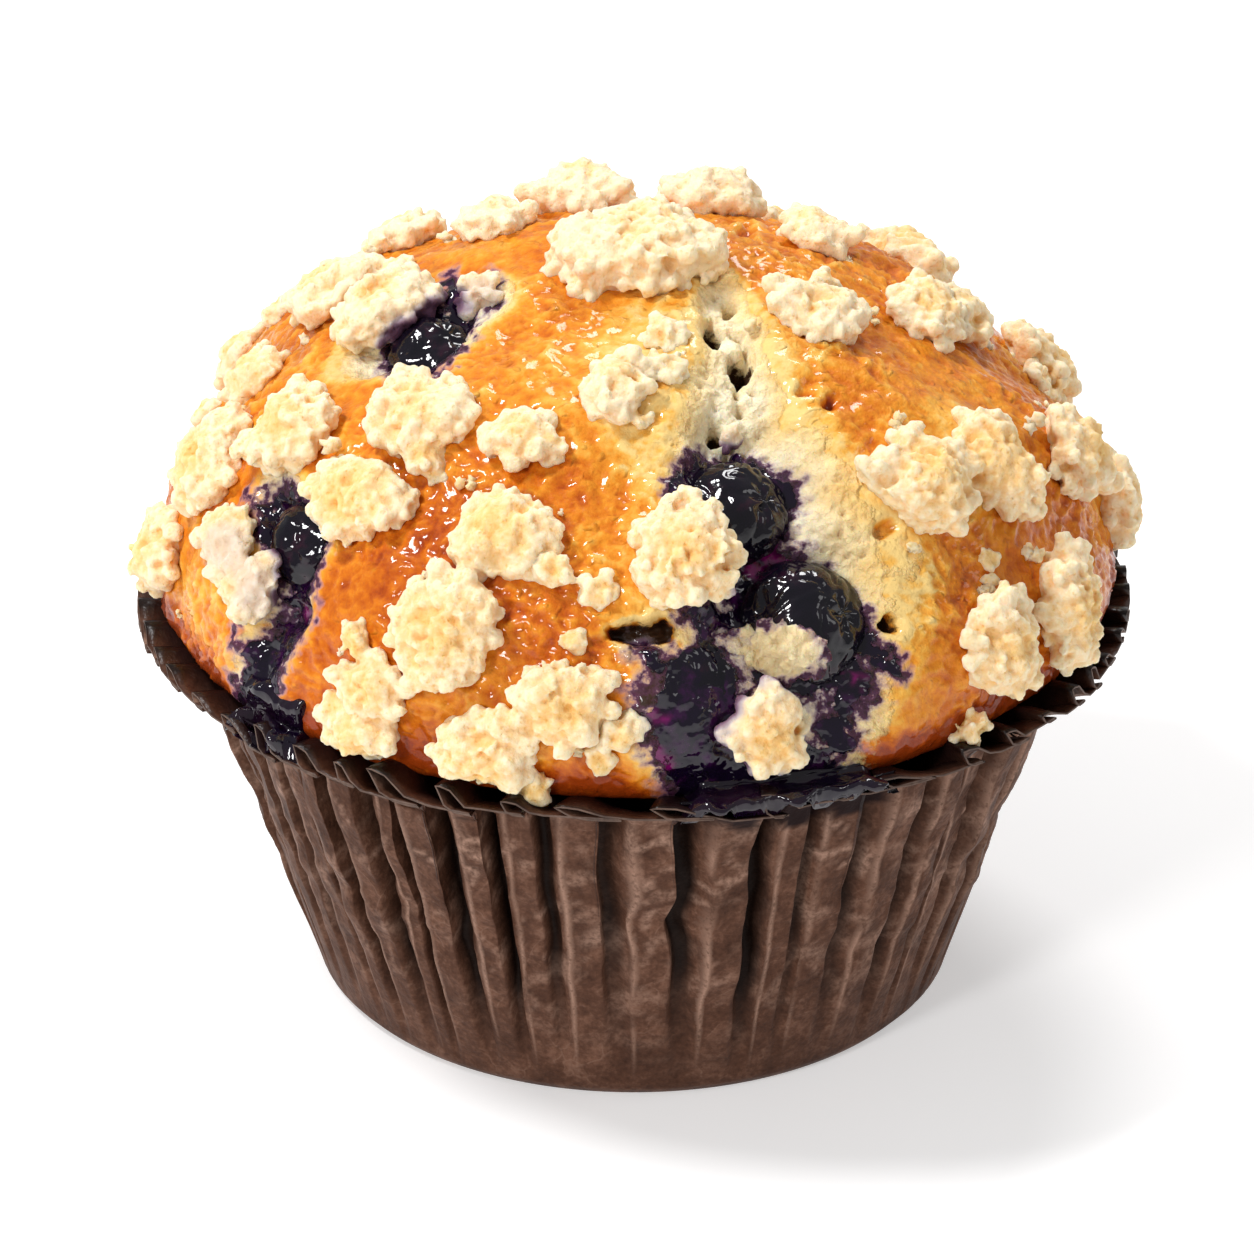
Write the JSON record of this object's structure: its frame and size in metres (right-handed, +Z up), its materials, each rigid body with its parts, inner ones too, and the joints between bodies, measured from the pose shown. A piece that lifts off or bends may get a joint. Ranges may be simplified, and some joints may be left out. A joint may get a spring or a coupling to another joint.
{
  "type": "muffin",
  "caption": "Domed blueberry muffin with a split golden crust, baked berries and rough crumble lumps, in a pleated brown paper case with a curled brim.",
  "frame": {"origin": "centre of the flat underside of the paper case", "axes": "+Z up through the top of the dome; -Y is the front, the side with the large split and its berries; +X to the right seen from the front"},
  "size_m": [0.0781, 0.077, 0.0631],
  "materials": {
    "paper": "dark brown greaseproof paper, faintly fibrous, with a low waxy sheen",
    "cake": "golden to orange-brown egg-glazed crust, pale open crumb where it has split, purple stains by the berries",
    "blueberry": "blue-black wrinkled skins, wet and glossy with juice",
    "crumble": "pale cream, dry and grainy"
  },
  "bodies": {
    "root": {"paper_case": "paper", "muffin": "cake", "blueberry_1": "blueberry", "blueberry_2": "blueberry", "blueberry_3": "blueberry", "blueberry_4": "blueberry", "blueberry_5": "blueberry", "crumble_01": "crumble", "crumble_02": "crumble", "crumble_03": "crumble", "crumble_04": "crumble", "crumble_05": "crumble", "crumble_06": "crumble", "crumble_07": "crumble", "crumble_08": "crumble", "crumble_09": "crumble", "crumble_10": "crumble", "crumble_11": "crumble", "crumble_12": "crumble", "crumble_13": "crumble", "crumble_14": "crumble", "crumble_15": "crumble", "crumble_16": "crumble", "crumble_17": "crumble", "crumble_18": "crumble", "crumble_19": "crumble", "crumble_20": "crumble", "crumble_21": "crumble", "crumble_22": "crumble", "crumble_23": "crumble", "crumble_24": "crumble", "crumble_25": "crumble", "crumble_26": "crumble", "crumble_27": "crumble", "crumble_28": "crumble", "crumble_29": "crumble", "crumble_30": "crumble", "crumble_31": "crumble", "crumble_32": "crumble", "crumble_33": "crumble", "crumble_34": "crumble", "crumble_35": "crumble", "crumble_36": "crumble", "crumble_37": "crumble", "crumble_38": "crumble", "crumble_39": "crumble", "crumble_40": "crumble", "crumble_41": "crumble", "crumble_42": "crumble", "crumble_43": "crumble", "crumble_44": "crumble", "crumble_45": "crumble"}
  },
  "joints": []
}
